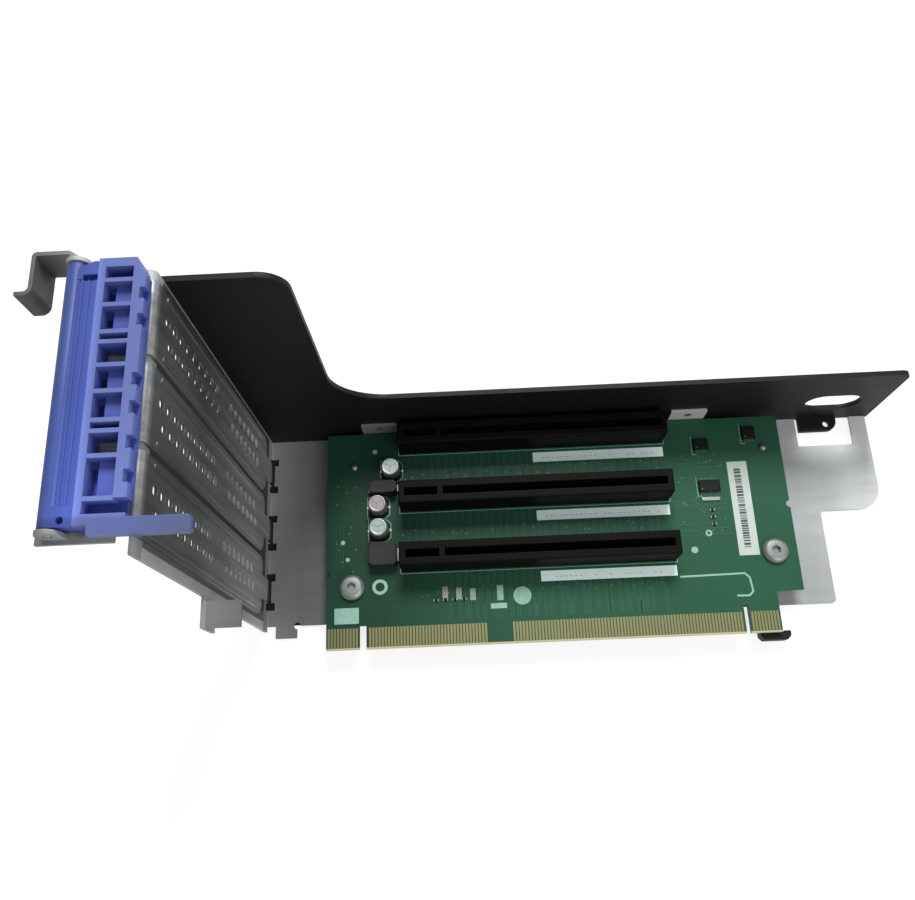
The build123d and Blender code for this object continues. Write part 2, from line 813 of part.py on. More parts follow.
# Rivets that join the cover to the cage's tabs
with BuildPart() as cover_rivets:
    with BuildSketch(Plane.XZ.offset(-cover_top)):
        with Locations(*tab_places):
            Circle(rivet_head_radius)
    extrude(amount=-rivet_head)
    with BuildSketch(Plane.XZ.offset(-cover_top)):
        with Locations(*tab_places):
            Circle(rivet_radius)
    extrude(amount=cover_thickness + sheet)
cover_rivets.part.label = "cover_rivets"
export_step(cover_rivets.part, "parts/cover_rivets.step")

# Black guide peg beside the gold edge
with BuildPart() as guide_peg:
    with BuildSketch(Plane.XY.offset(sheet)) as peg_outline:
        with Locations((peg_x, peg_tip)):
            Rectangle(peg_width, peg_head, align=(Align.CENTER, Align.MIN))
        chamfer(peg_outline.vertices().group_by(Axis.Y)[0], peg_head_corner)
        with Locations((peg_stem_x, peg_tip + peg_head)):
            Rectangle(peg_stem_width, peg_length - peg_head, align=(Align.CENTER, Align.MIN))
    extrude(amount=peg_thickness)
    chamfer(guide_peg.faces().sort_by(Axis.Z)[-1].edges(), peg_edge)
    with Locations((peg_stem_x, peg_rivet_y, sheet + peg_thickness / 2)):
        Cylinder(rivet_radius + rivet_clear, peg_thickness, mode=Mode.SUBTRACT)
guide_peg.part.label = "guide_peg"
export_step(guide_peg.part, "parts/guide_peg.step")

with BuildPart() as peg_rivet:
    with BuildSketch(Plane.XY.offset(sheet / 2)):
        with Locations((peg_stem_x, peg_rivet_y)):
            Circle(rivet_radius)
    extrude(amount=sheet / 2 + peg_thickness)
    with BuildSketch(Plane.XY.offset(sheet + peg_thickness)):
        with Locations((peg_stem_x, peg_rivet_y)):
            Circle(rivet_head_radius)
    extrude(amount=rivet_head)
peg_rivet.part.label = "peg_rivet"
export_step(peg_rivet.part, "parts/peg_rivet.step")

# Metal-can capacitors on their square bases
with BuildPart() as capacitor_bases:
    for x, y in capacitors:
        with BuildSketch(Plane.XY.offset(board_face)) as base_outline:
            with Locations((x, y)):
                Rectangle(can_base, can_base)
            chamfer(base_outline.vertices().group_by(Axis.X)[-1], can_base_corner)
        extrude(amount=can_base_height)
capacitor_bases.part.label = "capacitor_bases"
export_step(capacitor_bases.part, "parts/capacitor_bases.step")

with BuildPart() as capacitor_cans:
    with BuildSketch(Plane.XY.offset(board_face + can_base_height)):
        with Locations(*capacitors):
            Circle(can_radius)
    extrude(amount=can_height)
capacitor_cans.part.label = "capacitor_cans"
export_step(capacitor_cans.part, "parts/capacitor_cans.step")

with BuildPart() as power_inductors:
    for back, y, length, width in inductor_steps:
        with BuildSketch(Plane.XY.offset(board_face)) as inductor_outline:
            with Locations((slot_x - back, y)):
                Rectangle(length, width)
            chamfer(inductor_outline.vertices(), inductor_corner)
        extrude(amount=inductor_height)
power_inductors.part.label = "power_inductors"
export_step(power_inductors.part, "parts/power_inductors.step")

with BuildPart() as logic_chips:
    for back, y, length, width in chip_steps:
        with BuildSketch(Plane.XY.offset(board_face)):
            with Locations((board_end - back, y)):
                Rectangle(length, width)
        extrude(amount=chip_height)
    chamfer(logic_chips.faces().filter_by(Axis.Z).group_by(Axis.Z)[-1].edges(), chip_edge)
logic_chips.part.label = "logic_chips"
export_step(logic_chips.part, "parts/logic_chips.step")

with BuildPart() as chip_resistors:
    with BuildSketch(Plane.XY.offset(board_face)):
        with Locations((board_start + resistor_row_in, resistor_row_y)):
            with GridLocations(resistor_row_pitch, 0, resistor_row_count, 1):
                Rectangle(resistor_length, resistor_width)
        with Locations((board_end - resistor_column_back, resistor_column_y)):
            with GridLocations(0, resistor_column_pitch, 1, resistor_column_count):
                Rectangle(resistor_length, resistor_width)
    extrude(amount=resistor_height)
chip_resistors.part.label = "chip_resistors"
export_step(chip_resistors.part, "parts/chip_resistors.step")

# White labels: one tall tag at the right and one strip under each slot
with BuildPart() as board_label:
    with BuildSketch(Plane.XY.offset(board_face)):
        with Locations((board_end - label_back, label_low)):
            Rectangle(label_width, label_height, align=(Align.MIN, Align.MIN))
    extrude(amount=label_thickness)
board_label.part.label = "board_label"
export_step(board_label.part, "parts/board_label.step")

with BuildPart() as slot_strips:
    with BuildSketch(Plane.XY.offset(board_face)):
        for row in slot_rows:
            with Locations((slot_x + slot_length, row - strip_drop)):
                Rectangle(strip_length, strip_width, align=(Align.MAX, Align.CENTER))
    extrude(amount=strip_thickness)
slot_strips.part.label = "slot_strips"
export_step(slot_strips.part, "parts/slot_strips.step")
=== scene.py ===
# %% [markdown]
# A riser card cage for a rack server: a green board with three card slots, screwed into a folded steel
# cage, with a black cover along the top and a blue ribbed latch that holds three vented brackets down. The
# solids come in from the frame. This lesson gives them rounded edges and finishes, and adds the small parts
# that make a board look like a board: spun screws and cans, springs, printing and copper traces.

# %% Load the frame
import random
from math import cos, degrees, radians, sin, tau

import bmesh
import bpy
from mathutils import Euler, Matrix, Vector


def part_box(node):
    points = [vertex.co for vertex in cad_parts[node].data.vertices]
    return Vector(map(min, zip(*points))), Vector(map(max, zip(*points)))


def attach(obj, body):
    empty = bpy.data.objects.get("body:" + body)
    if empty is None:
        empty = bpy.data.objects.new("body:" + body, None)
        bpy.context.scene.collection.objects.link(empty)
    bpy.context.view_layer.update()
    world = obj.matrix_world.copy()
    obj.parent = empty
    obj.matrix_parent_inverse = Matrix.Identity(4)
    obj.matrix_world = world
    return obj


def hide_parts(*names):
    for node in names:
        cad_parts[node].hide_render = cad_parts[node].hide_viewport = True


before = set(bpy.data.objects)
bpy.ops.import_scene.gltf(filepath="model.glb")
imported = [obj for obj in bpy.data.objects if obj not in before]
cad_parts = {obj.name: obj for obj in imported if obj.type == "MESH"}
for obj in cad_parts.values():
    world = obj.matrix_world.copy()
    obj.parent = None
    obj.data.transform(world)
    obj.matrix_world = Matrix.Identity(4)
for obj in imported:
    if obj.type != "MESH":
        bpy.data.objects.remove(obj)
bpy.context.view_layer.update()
MM = 0.001
scene = bpy.context.scene

# %% [markdown]
# The camera stands above the gold edge and looks down on the board, turned a little clockwise. Its place
# and turn were fitted to the card slots, which have a standard pitch and length.

# %% Camera
camera_place = Vector((70.65, -33.90, 293.90)) * MM
camera_turn = Euler((radians(19.169), radians(1.636), radians(-2.192)))
camera_lens = 34.82
sensor_width = 36

camera_data = bpy.data.cameras.new("camera")
camera_data.lens = camera_lens
camera_data.sensor_width = sensor_width
camera_data.clip_start = 0.01
camera = bpy.data.objects.new("camera", camera_data)
camera.location = camera_place
camera.rotation_euler = camera_turn
scene.collection.objects.link(camera)
scene.camera = camera
scene.view_settings.view_transform = "Standard"
print("camera", round(camera_place.length, 3), "m from the origin, lens", camera_lens, "mm")

# %% [markdown]
# Colours are easier to judge as screen values from 0 to 255, but a shader works in linear light. This
# helper turns one into the other.

# %% Colour helper
def screen(red, green, blue):
    """A screen colour as the linear RGBA that a shader takes."""
    shares = [level / 255 for level in (red, green, blue)]
    linear = [share / 12.92 if share <= 0.04 else ((share + 0.055) / 1.055) ** 2.4 for share in shares]
    return (*linear, 1.0)


print("mid grey is", round(screen(128, 128, 128)[0], 3), "in linear light")

# %% [markdown]
# Some finishes change inside a box: the painted shadow under the plate, the painted shade between the
# brackets and the bare cut edge. This helper gives a shader a number that is 1 inside a box of object
# coordinates and 0 outside it.

# %% Box helper for shaders
def inside(tree, box):
    """A socket that is 1 inside a box of {axis: (low, high)} in mm."""
    place = tree.nodes.new("ShaderNodeTexCoord")
    split = tree.nodes.new("ShaderNodeSeparateXYZ")
    tree.links.new(place.outputs["Object"], split.inputs[0])
    found = None
    for axis, (low, high) in box.items():
        span = tree.nodes.new("ShaderNodeMath")
        span.operation = "COMPARE"
        span.inputs[1].default_value = (low + high) / 2 * MM
        span.inputs[2].default_value = (high - low) / 2 * MM
        tree.links.new(split.outputs[axis], span.inputs[0])
        if found:
            both = tree.nodes.new("ShaderNodeMath")
            both.operation = "MULTIPLY"
            tree.links.new(found, both.inputs[0])
            tree.links.new(span.outputs[0], both.inputs[1])
            span = both
        found = span.outputs[0]
    return found


print("box helper ready")

# %% [markdown]
# The floor is plain and pale. A camera ray sees it lifted towards white, so the background stays clean
# while the shadow under the cage still shows. The same lift is given to glossy and transmitted rays, so
# that metal reflects the white room as the eye sees it. Right under the back plate the lift is off and the
# paper is painted almost black, a painted shadow, so the plate's small holes look into the dark gap that a
# real plate leaves on a bench.

# %% Floor
paper_tone = 0.82
seen_lift = 0.80
seen_tone = 0.22
gap_shadow_tone = 0.02
floor_half = 2.0
floor_drop = 0.1
under_plate = {"X": (-0.4, 183.0), "Y": (9.7, 73.0)}

floor_material = bpy.data.materials.new("floor_paper")
floor_material.use_nodes = True
tree = floor_material.node_tree
tree.nodes.remove(tree.nodes["Principled BSDF"])
paper = tree.nodes.new("ShaderNodeBsdfDiffuse")
paper.inputs["Color"].default_value = (paper_tone, paper_tone, paper_tone, 1)
paper_grain = tree.nodes.new("ShaderNodeTexNoise")
paper_grain.inputs["Scale"].default_value = 900
paper_bump = tree.nodes.new("ShaderNodeBump")
paper_bump.inputs["Strength"].default_value = 0.02
tree.links.new(paper_grain.outputs["Fac"], paper_bump.inputs["Height"])
tree.links.new(paper_bump.outputs["Normal"], paper.inputs["Normal"])
seen_paper = tree.nodes.new("ShaderNodeBsdfDiffuse")
lift = tree.nodes.new("ShaderNodeEmission")
# Painted shadow: under the back plate the paper's colour drops to the gap shadow tone and its lift is off.
under_plate_shadow = inside(tree, under_plate)
for open_level, gap_level, socket in ((seen_lift, 0, lift.inputs["Strength"]),
                                      (seen_tone, gap_shadow_tone, seen_paper.inputs["Color"])):
    level = tree.nodes.new("ShaderNodeMapRange")
    level.inputs["To Min"].default_value = open_level
    level.inputs["To Max"].default_value = gap_level
    tree.links.new(under_plate_shadow, level.inputs["Value"])
    tree.links.new(level.outputs["Result"], socket)
lifted = tree.nodes.new("ShaderNodeAddShader")
tree.links.new(seen_paper.outputs[0], lifted.inputs[0])
tree.links.new(lift.outputs[0], lifted.inputs[1])
rays = tree.nodes.new("ShaderNodeLightPath")
seen = tree.nodes.new("ShaderNodeMath")
seen.operation = "MAXIMUM"
seen_or_glossy = tree.nodes.new("ShaderNodeMath")
seen_or_glossy.operation = "MAXIMUM"
tree.links.new(rays.outputs["Is Camera Ray"], seen.inputs[0])
tree.links.new(rays.outputs["Is Glossy Ray"], seen.inputs[1])
tree.links.new(seen.outputs[0], seen_or_glossy.inputs[0])
tree.links.new(rays.outputs["Is Transmission Ray"], seen_or_glossy.inputs[1])
mixed = tree.nodes.new("ShaderNodeMixShader")
tree.links.new(seen_or_glossy.outputs[0], mixed.inputs[0])
tree.links.new(paper.outputs[0], mixed.inputs[1])
tree.links.new(lifted.outputs[0], mixed.inputs[2])
tree.links.new(mixed.outputs[0], tree.nodes["Material Output"].inputs["Surface"])

floor_mesh = bmesh.new()
bmesh.ops.create_grid(floor_mesh, x_segments=1, y_segments=1, size=floor_half)
bmesh.ops.translate(floor_mesh, verts=floor_mesh.verts, vec=(0, 0, -floor_drop * MM))
floor_data = bpy.data.meshes.new("floor")
floor_mesh.to_mesh(floor_data)
floor_mesh.free()
floor_data.materials.append(floor_material)
floor = bpy.data.objects.new("floor", floor_data)
scene.collection.objects.link(floor)
print("floor", 2 * floor_half, "m wide")

# %% [markdown]
# The room is plain white to the camera and dimmer to everything else. So the background is clean, and the
# object gets only a soft fill of light from all sides.

# %% Room
room_light = 0.42

world = bpy.data.worlds.new("room")
world.use_nodes = True
scene.world = world
room = world.node_tree
dim = room.nodes["Background"]
dim.inputs["Color"].default_value = (1, 1, 1, 1)
dim.inputs["Strength"].default_value = room_light
bright = room.nodes.new("ShaderNodeBackground")
bright.inputs["Strength"].default_value = 1.0
room_rays = room.nodes.new("ShaderNodeLightPath")
room_mix = room.nodes.new("ShaderNodeMixShader")
room.links.new(room_rays.outputs["Is Camera Ray"], room_mix.inputs[0])
room.links.new(dim.outputs[0], room_mix.inputs[1])
room.links.new(bright.outputs[0], room_mix.inputs[2])
room.links.new(room_mix.outputs[0], room.nodes["World Output"].inputs["Surface"])
print("room light", room_light)

# %% [markdown]
# The light comes mostly from above and behind the black cover, which is why its inner face and the first
# slot lie in shadow. A weaker lamp at the front right keeps the shadows open. Large lamps give soft shadow
# edges.

# %% Lamps
def lamp(name, place, target, size, watts):
    """A soft square lamp at a place in mm, turned towards a target in mm."""
    data = bpy.data.lights.new(name, "AREA")
    data.size = size
    data.energy = watts
    made = bpy.data.objects.new(name, data)
    made.location = Vector(place) * MM
    made.rotation_euler = (Vector(target) - Vector(place)).to_track_quat("-Z", "Y").to_euler()
    scene.collection.objects.link(made)


board_middle = (100, 40, 10)
lamp("key_lamp", (150, 620, 760), board_middle, 0.35, 11.0)
lamp("front_lamp", (460, -420, 560), board_middle, 0.7, 4.0)
print("2 lamps, aimed at", board_middle)

# %% [markdown]
# Light falls off towards the outer hook, into the corner behind the board and between the brackets, and
# these helpers paint that light and shade into colours; one of them also paints the board's bare edge. One
# helper blends a paint into a colour by a share, which may come from a box. The other one fades a colour
# along an axis. Both work on object coordinates, so the painted marks stay where they are on the piece.

# %% Helpers that change a colour
def blended(tree, colour, paint, share, blend):
    """A colour socket blended with a paint. Paint and share are each a value or a socket."""
    mix = tree.nodes.new("ShaderNodeMix")
    mix.data_type = "RGBA"
    mix.blend_type = blend
    tree.links.new(colour, mix.inputs["A"])
    for given, socket in ((paint, mix.inputs["B"]), (share, mix.inputs["Factor"])):
        if isinstance(given, bpy.types.NodeSocket):
            tree.links.new(given, socket)
        else:
            socket.default_value = given
    return mix.outputs["Result"]


def faded(tree, colour, axis, stops):
    """A colour multiplied along an axis.

    Each stop is a place in mm with one level, or with a level each for red, green and blue.
    """
    place = tree.nodes.new("ShaderNodeTexCoord")
    split = tree.nodes.new("ShaderNodeSeparateXYZ")
    tree.links.new(place.outputs["Object"], split.inputs[0])
    start, end = stops[0][0], stops[-1][0]
    along = tree.nodes.new("ShaderNodeMapRange")
    along.inputs["From Min"].default_value = start * MM
    along.inputs["From Max"].default_value = end * MM
    tree.links.new(split.outputs[axis], along.inputs["Value"])
    ramp = tree.nodes.new("ShaderNodeValToRGB")
    while len(ramp.color_ramp.elements) < len(stops):
        ramp.color_ramp.elements.new(0.5)
    for stop, (at, level) in zip(ramp.color_ramp.elements, stops):
        stop.position = (at - start) / (end - start)
        stop.color = (*level, 1) if isinstance(level, tuple) else (level, level, level, 1)
    tree.links.new(along.outputs["Result"], ramp.inputs["Fac"])
    return blended(tree, colour, ramp.outputs["Color"], 1, "MULTIPLY")


print("fade helpers ready")

# %% [markdown]
# Every finish starts from the same recipe: a base colour that wanders a little between two tones, a
# roughness that wanders with it, and a fine bump. Object coordinates keep the pattern fixed to the piece. A
# stretched pattern gives metal its rolled or brushed grain.

# %% Finish recipe
def finish(name, tone, second, rough=(0.4, 0.5), metallic=0.0, scale=200, stretch=(1, 1, 1), bump=0.05,
           bump_scale=3000, depth=0.02, gloss=0.5, fades=(), zones=()):
    """A material whose colour and roughness wander between two values, with a fine bump of a depth in mm.

    A fade is an axis and its stops. A zone is a box in mm, a paint and the way that the paint is blended in.
    """
    material = bpy.data.materials.new(name)
    material.use_nodes = True
    tree = material.node_tree
    nodes, links = tree.nodes, tree.links
    shader = nodes["Principled BSDF"]
    shader.inputs["Metallic"].default_value = metallic
    shader.inputs["Specular IOR Level"].default_value = gloss
    place = nodes.new("ShaderNodeTexCoord")
    mapping = nodes.new("ShaderNodeMapping")
    mapping.inputs["Scale"].default_value = stretch
    links.new(place.outputs["Object"], mapping.inputs["Vector"])
    wander = nodes.new("ShaderNodeTexNoise")
    wander.inputs["Scale"].default_value = scale
    wander.inputs["Detail"].default_value = 4
    links.new(mapping.outputs["Vector"], wander.inputs["Vector"])
    tones = nodes.new("ShaderNodeMix")
    tones.data_type = "RGBA"
    tones.inputs["A"].default_value = tone
    tones.inputs["B"].default_value = second
    links.new(wander.outputs["Fac"], tones.inputs["Factor"])
    colour = tones.outputs["Result"]
    for axis, stops in fades:
        colour = faded(tree, colour, axis, stops)
    for box, paint, blend in zones:
        colour = blended(tree, colour, paint, inside(tree, box), blend)
    links.new(colour, shader.inputs["Base Color"])
    spread = nodes.new("ShaderNodeMapRange")
    spread.inputs["To Min"].default_value = rough[0]
    spread.inputs["To Max"].default_value = rough[1]
    links.new(wander.outputs["Fac"], spread.inputs["Value"])
    links.new(spread.outputs["Result"], shader.inputs["Roughness"])
    grain = nodes.new("ShaderNodeTexNoise")
    grain.inputs["Scale"].default_value = bump_scale
    links.new(mapping.outputs["Vector"], grain.inputs["Vector"])
    relief = nodes.new("ShaderNodeBump")
    relief.inputs["Strength"].default_value = bump
    relief.inputs["Distance"].default_value = depth * MM
    links.new(grain.outputs["Fac"], relief.inputs["Height"])
    links.new(relief.outputs["Normal"], shader.inputs["Normal"])
    return material


print("finish recipe ready")

# %% [markdown]
# The cage is galvanised sheet, rolled lengthways. Light and shade are painted into its colour: a painted
# highlight makes it brightest at its open end, painted shade darkens the outer hook, the corner by the board
# and the inside of the rear wall, and a painted highlight brightens the wall's narrow flange. The filler
# brackets are thinner sheet, drawn out along their length. Their colour carries painted light as well: the
# tongue ends at the foot are painted almost black as painted shade, the brackets are bright above the foot
# and darken upwards in painted shade, and a painted highlight makes them bright again where they bend over.

# %% Steel finishes
wall_inside = {"X": (-2, 1.4), "Z": (6, 114)}
wall_flange_highlight = {**wall_inside, "Y": (-3, 10.4)}
wall_gap_shade = {**wall_inside, "Y": (10.4, 13.6)}
wall_bays_shade = {**wall_inside, "Y": (13.6, 73.4)}
# Painted light and shade: the fades darken the hook, the corner by the board, the plate's low edge and the
# wall's middle height, and brighten the open end. The zones paint shade on the inner wall below and behind
# the brackets and a highlight on its flange.
cage_steel = finish(
    "cage_steel", screen(208, 211, 212), screen(184, 188, 189), rough=(0.62, 0.74), metallic=0.3, scale=60,
    stretch=(1, 6, 6), bump=0.25, bump_scale=900,
    fades=[("X", [(-30, 0.15), (-20, 0.34), (-12, 0.75), (-4, 0.9), (3, 0.6), (12, 0.4), (21, 0.44),
                  (40, 0.3), (130, 0.85), (150, 0.86), (182, 0.84), (192, 0.95), (200, 1.2)]),
           ("Y", [(0, 0.66), (20, 0.66), (45, 0.85), (60, 0.95), (74, 1)]),
           ("Z", [(0, 0.85), (5, 0.85), (10, 1), (18, 0.9), (30, 0.6), (110, 0.6), (118, 0.85),
                  (122, 0.85)])],
    zones=[(wall_gap_shade, (0.45, 0.45, 0.45, 1), "MULTIPLY"), (wall_bays_shade, (0.16, 0.16, 0.16, 1), "MULTIPLY"),
           (wall_flange_highlight, (1.6, 1.6, 1.5, 1), "MULTIPLY")])
# Painted light and shade: the Z fade paints the tongue ends almost black, darkens the brackets upwards and
# paints a highlight where they bend over.
filler_steel = finish(
    "filler_steel", screen(190, 194, 192), screen(84, 88, 86), rough=(0.4, 0.55), metallic=0.5, scale=90,
    stretch=(5, 5, 0.3), bump=0.25, bump_scale=900,
    fades=[("Z", [(0, 0.04), (4.6, 0.05), (5.6, 1), (25, 1), (60, 0.55), (80, 0.3), (116.4, 0.22),
                  (118.4, 0.62), (122, 0.7)])])
bright_steel = finish("bright_steel", screen(146, 150, 146), screen(122, 126, 122), rough=(0.35, 0.48),
                      metallic=0.8, scale=400, bump=0.1)
print("steel finishes ready")

# %% [markdown]
# Moulded plastics differ mostly in gloss. The black ones are dull and so dark that any gloss would turn
# them grey. The latch is a blue touch colour that marks what a hand may move. Light and shade are painted
# into its blue: painted shade deepens its barrel and the floors of its recesses, and a painted highlight
# makes its ridge and rim paler.

# %% Plastic finishes
cover_plastic = finish("cover_plastic", screen(17, 17, 14), screen(11, 11, 9), rough=(0.5, 0.62), scale=120,
                       bump=0.35, bump_scale=2600, depth=0.03, gloss=0.2)
slot_plastic = finish("slot_plastic", screen(11, 10, 9), screen(7, 6, 6), rough=(0.5, 0.6), scale=150,
                      bump=0.2, bump_scale=2200, gloss=0.06)
# Painted light and shade: the X fade darkens the barrel and paints a highlight on the ridge, then turns the
# blue greyer towards the right end; the Y fade paints a highlight above the grip; the Z fade paints shade on
# the recess floors.
latch_blue = finish(
    "latch_blue", screen(86, 98, 156), screen(74, 86, 144), rough=(0.42, 0.52), scale=70, bump=0.15,
    bump_scale=2400, gloss=0.25,
    fades=[("X", [(-18, (0.42, 0.5, 0.5)), (-13, (0.46, 0.58, 0.74)), (-9.6, (0.6, 0.74, 0.95)),
                  (-9, (1.3, 1.3, 1.3)), (-7.6, (1.02, 1.02, 0.95)), (1.6, (0.95, 0.96, 0.88)),
                  (14, (0.9, 0.82, 0.6)), (16, (0.9, 0.82, 0.6))]),
           ("Y", [(4, 0.88), (13.6, 0.88), (15, 1.35), (40, 1.06), (76, 1)]),
           ("Z", [(118, 0.3), (122.6, (0.42, 0.5, 0.9)), (125.4, 1), (125.8, 1)])])
base_black = finish("base_black", screen(24, 23, 24), screen(16, 15, 16), rough=(0.5, 0.6), scale=300,
                    bump=0.2, gloss=0.15)
chip_black = finish("chip_black", screen(14, 20, 17), screen(9, 14, 12), rough=(0.5, 0.6), scale=700,
                    bump=0.3, bump_scale=5000, gloss=0.15)
ferrite = finish("ferrite", screen(40, 40, 38), screen(30, 29, 28), rough=(0.5, 0.65), scale=500, bump=0.4,
                 bump_scale=4000, gloss=0.2)
print("plastic finishes ready")

# %% [markdown]
# The gold on the board's edge is a thin plating that has gone pale. The springs deep in the slots are
# painted a dark gold, a painted shade for their place down in the grooves. Solder and the chips' legs are
# tin, and the cans are bare aluminium, one of them with a rose tint in the photo.

# %% Gold, tin and aluminium
gold = finish("gold", screen(156, 152, 110), screen(134, 130, 88), rough=(0.25, 0.4), metallic=0.8, scale=300)
# Painted shade: the springs take a darkened gold for the grooves they sit in.
spring_shade_gold = finish("spring_shade_gold", screen(96, 80, 44), screen(70, 58, 30), rough=(0.3, 0.4), metallic=0.9,
                     scale=300)
solder = finish("solder", screen(150, 156, 152), screen(120, 126, 122), rough=(0.3, 0.5), metallic=0.8,
                scale=900, bump=0.2)
leg_metal = finish("leg_metal", screen(92, 100, 96), screen(70, 78, 74), rough=(0.35, 0.5), metallic=0.7,
                   scale=900, bump=0.1)
can_metal = finish("can_metal", screen(150, 160, 155), screen(128, 137, 132), rough=(0.3, 0.42), metallic=0.7,
                   scale=300, bump=0.1)
can_rose = finish("can_rose", screen(142, 133, 133), screen(120, 112, 112), rough=(0.3, 0.42), metallic=0.7,
                  scale=300, bump=0.1)
print("metal finishes ready")

# %% [markdown]
# Labels are matt paper. The board's own print is thinner and lets the green through, so it is a pale green.

# %% Labels and print
label_white = finish("label_white", screen(172, 182, 176), screen(156, 167, 161), rough=(0.5, 0.6), scale=500,
                     bump=0.1, gloss=0.2)
strip_white = finish("strip_white", screen(222, 240, 238), screen(208, 226, 224), rough=(0.5, 0.6), scale=500,
                     bump=0.1, gloss=0.3)
print_grey = finish("print_grey", screen(72, 82, 80), screen(58, 68, 66), rough=(0.5, 0.6), scale=500,
                    gloss=0.2)
silk_white = finish("silk_white", screen(134, 170, 156), screen(108, 146, 130), rough=(0.5, 0.6), scale=700,
                    bump=0.1, gloss=0.2)
print("print finishes ready")

# %% [markdown]
# The board's green is a lacquer over copper, so the copper areas below it show as a slightly lighter green
# and the bare glass cloth as a darker one. The saw cut along the gold edge has no lacquer and shows the
# pale cloth.

# %% Board finish
bare_edge = 0.5
# Painted shade: the board and its traces darken towards the wall on the left, where light falls off.
board_shade_fade = ("X", [(22, 0.6), (38, 0.5), (60, 0.85), (110, 1), (176, 1)])
board_green = finish("board_green", screen(36, 80, 60), screen(28, 66, 48), rough=(0.35, 0.48), scale=26,
                     bump=0.1, bump_scale=2000, gloss=0.14, fades=[board_shade_fade],
                     zones=[({"Y": (-1, bare_edge)}, screen(166, 158, 128), "MIX")])
trace_green = finish("trace_green", screen(48, 92, 72), screen(40, 80, 62), rough=(0.35, 0.48), scale=60,
                     bump=0.1, bump_scale=2000, gloss=0.14, fades=[board_shade_fade])
via_green = finish("via_green", screen(84, 118, 96), screen(62, 96, 76), rough=(0.35, 0.48), metallic=0.4,
                   scale=600, bump=0.1, gloss=0.2)
print(len(bpy.data.materials), "materials")

# %% [markdown]
# A solid from the frame has sharp edges, and no real sheet or moulding does. These helpers copy a solid's
# mesh, merge its loose triangles, remove the lines inside flat faces and bevel what is left, so that every
# edge catches a thin line of light. The new piece then stands for the solid. A face that is much larger
# than the curved strips beside it stays flat, so that no shading runs across it. The solid's own stored
# normals are dropped, since they no longer fit the new faces.

# %% Dressing a solid
merge_gap = 0.002
flat_turn = 0.5
corner_turn = 35
least_bend = 1
flat_share = 0.25


def finished(mesh, name, material, body="riser", stands_for=(), sharp_angle=32):
    """Turns a bmesh into a shaded piece that rides on a body."""
    mesh.normal_update()
    for edge in mesh.edges:
        edge.smooth = len(edge.link_faces) == 2 and degrees(edge.calc_face_angle()) < sharp_angle
    areas = {side: side.calc_area() for side in mesh.faces}
    for side, area in areas.items():
        beside = [other for edge in side.edges for other in edge.link_faces if other is not side]
        bends = [degrees(side.normal.angle(other.normal, 0)) for other in beside]
        curved_on = any(bend < sharp_angle and areas[other] > area * flat_share
                        for bend, other in zip(bends, beside))
        side.smooth = min(bends, default=0) > least_bend and curved_on
    data = bpy.data.meshes.new(name)
    mesh.to_mesh(data)
    mesh.free()
    old_normals = data.attributes.get("custom_normal")
    if old_normals:
        data.attributes.remove(old_normals)
    data.materials.append(material)
    piece = bpy.data.objects.new(name, data)
    scene.collection.objects.link(piece)
    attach(piece, body)
    if stands_for:
        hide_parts(*stands_for)
    print(name, len(data.polygons), "faces")


def merged(node):
    """A copy of a solid's mesh, with the corners of its loose triangles merged."""
    mesh = bmesh.new()
    mesh.from_mesh(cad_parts[node].data)
    bmesh.ops.remove_doubles(mesh, verts=mesh.verts[:], dist=merge_gap * MM)
    return mesh


def rounded(mesh, edges, edge, segments=2):
    """Rounds edges by edge mm."""
    bmesh.ops.bevel(mesh, geom=edges, offset=edge * MM, offset_type="OFFSET", affect="EDGES",
                    segments=segments, profile=0.5, material=-1, clamp_overlap=True)


def dressed(node, name, material, edge, body="riser", segments=2):
    """A piece made from a solid, with its edges rounded by edge mm. It replaces the solid."""
    mesh = merged(node)
    bmesh.ops.dissolve_limit(mesh, angle_limit=radians(flat_turn), verts=mesh.verts[:], edges=mesh.edges[:],
                             delimit=set())
    corners = [line for line in mesh.edges
               if len(line.link_faces) == 2 and line.calc_face_angle() > radians(corner_turn)]
    rounded(mesh, corners, edge, segments)
    finished(mesh, name, material, body=body, stands_for=[node])


dressed("cage", "steel_cage", cage_steel, 0.12)
dressed("top_cover", "black_cover", cover_plastic, 0.2)
dressed("riser_board", "green_board", board_green, 0.06)
for number in (1, 2, 3):
    dressed(f"filler_bracket_{number}", f"vented_bracket_{number}", filler_steel, 0.08)
    dressed(f"slot_{number}", f"card_slot_{number}", slot_plastic, 0.15)
dressed("retention_latch", "blue_latch", latch_blue, 0.12, body="latch")
dressed("guide_peg", "black_peg", cover_plastic, 0.2)
dressed("board_standoffs", "hex_standoffs", bright_steel, 0.12)
dressed("capacitor_bases", "can_bases", base_black, 0.12)
dressed("board_label", "tall_label", label_white, 0.02)
dressed("slot_strips", "pale_strips", strip_white, 0.02)

# %% [markdown]
# Round parts are turned. A lathe takes a profile of radius and height and spins it round an axis, which
# gives domed heads, rolled rims and rounded pin ends in one step. Strips such as springs, legs and printed
# lines are paths that are drawn out and then thickened. The places of the small parts are read from the
# solids in the frame: a node can hold several separate solids, and each one's box tells where its part
# belongs.

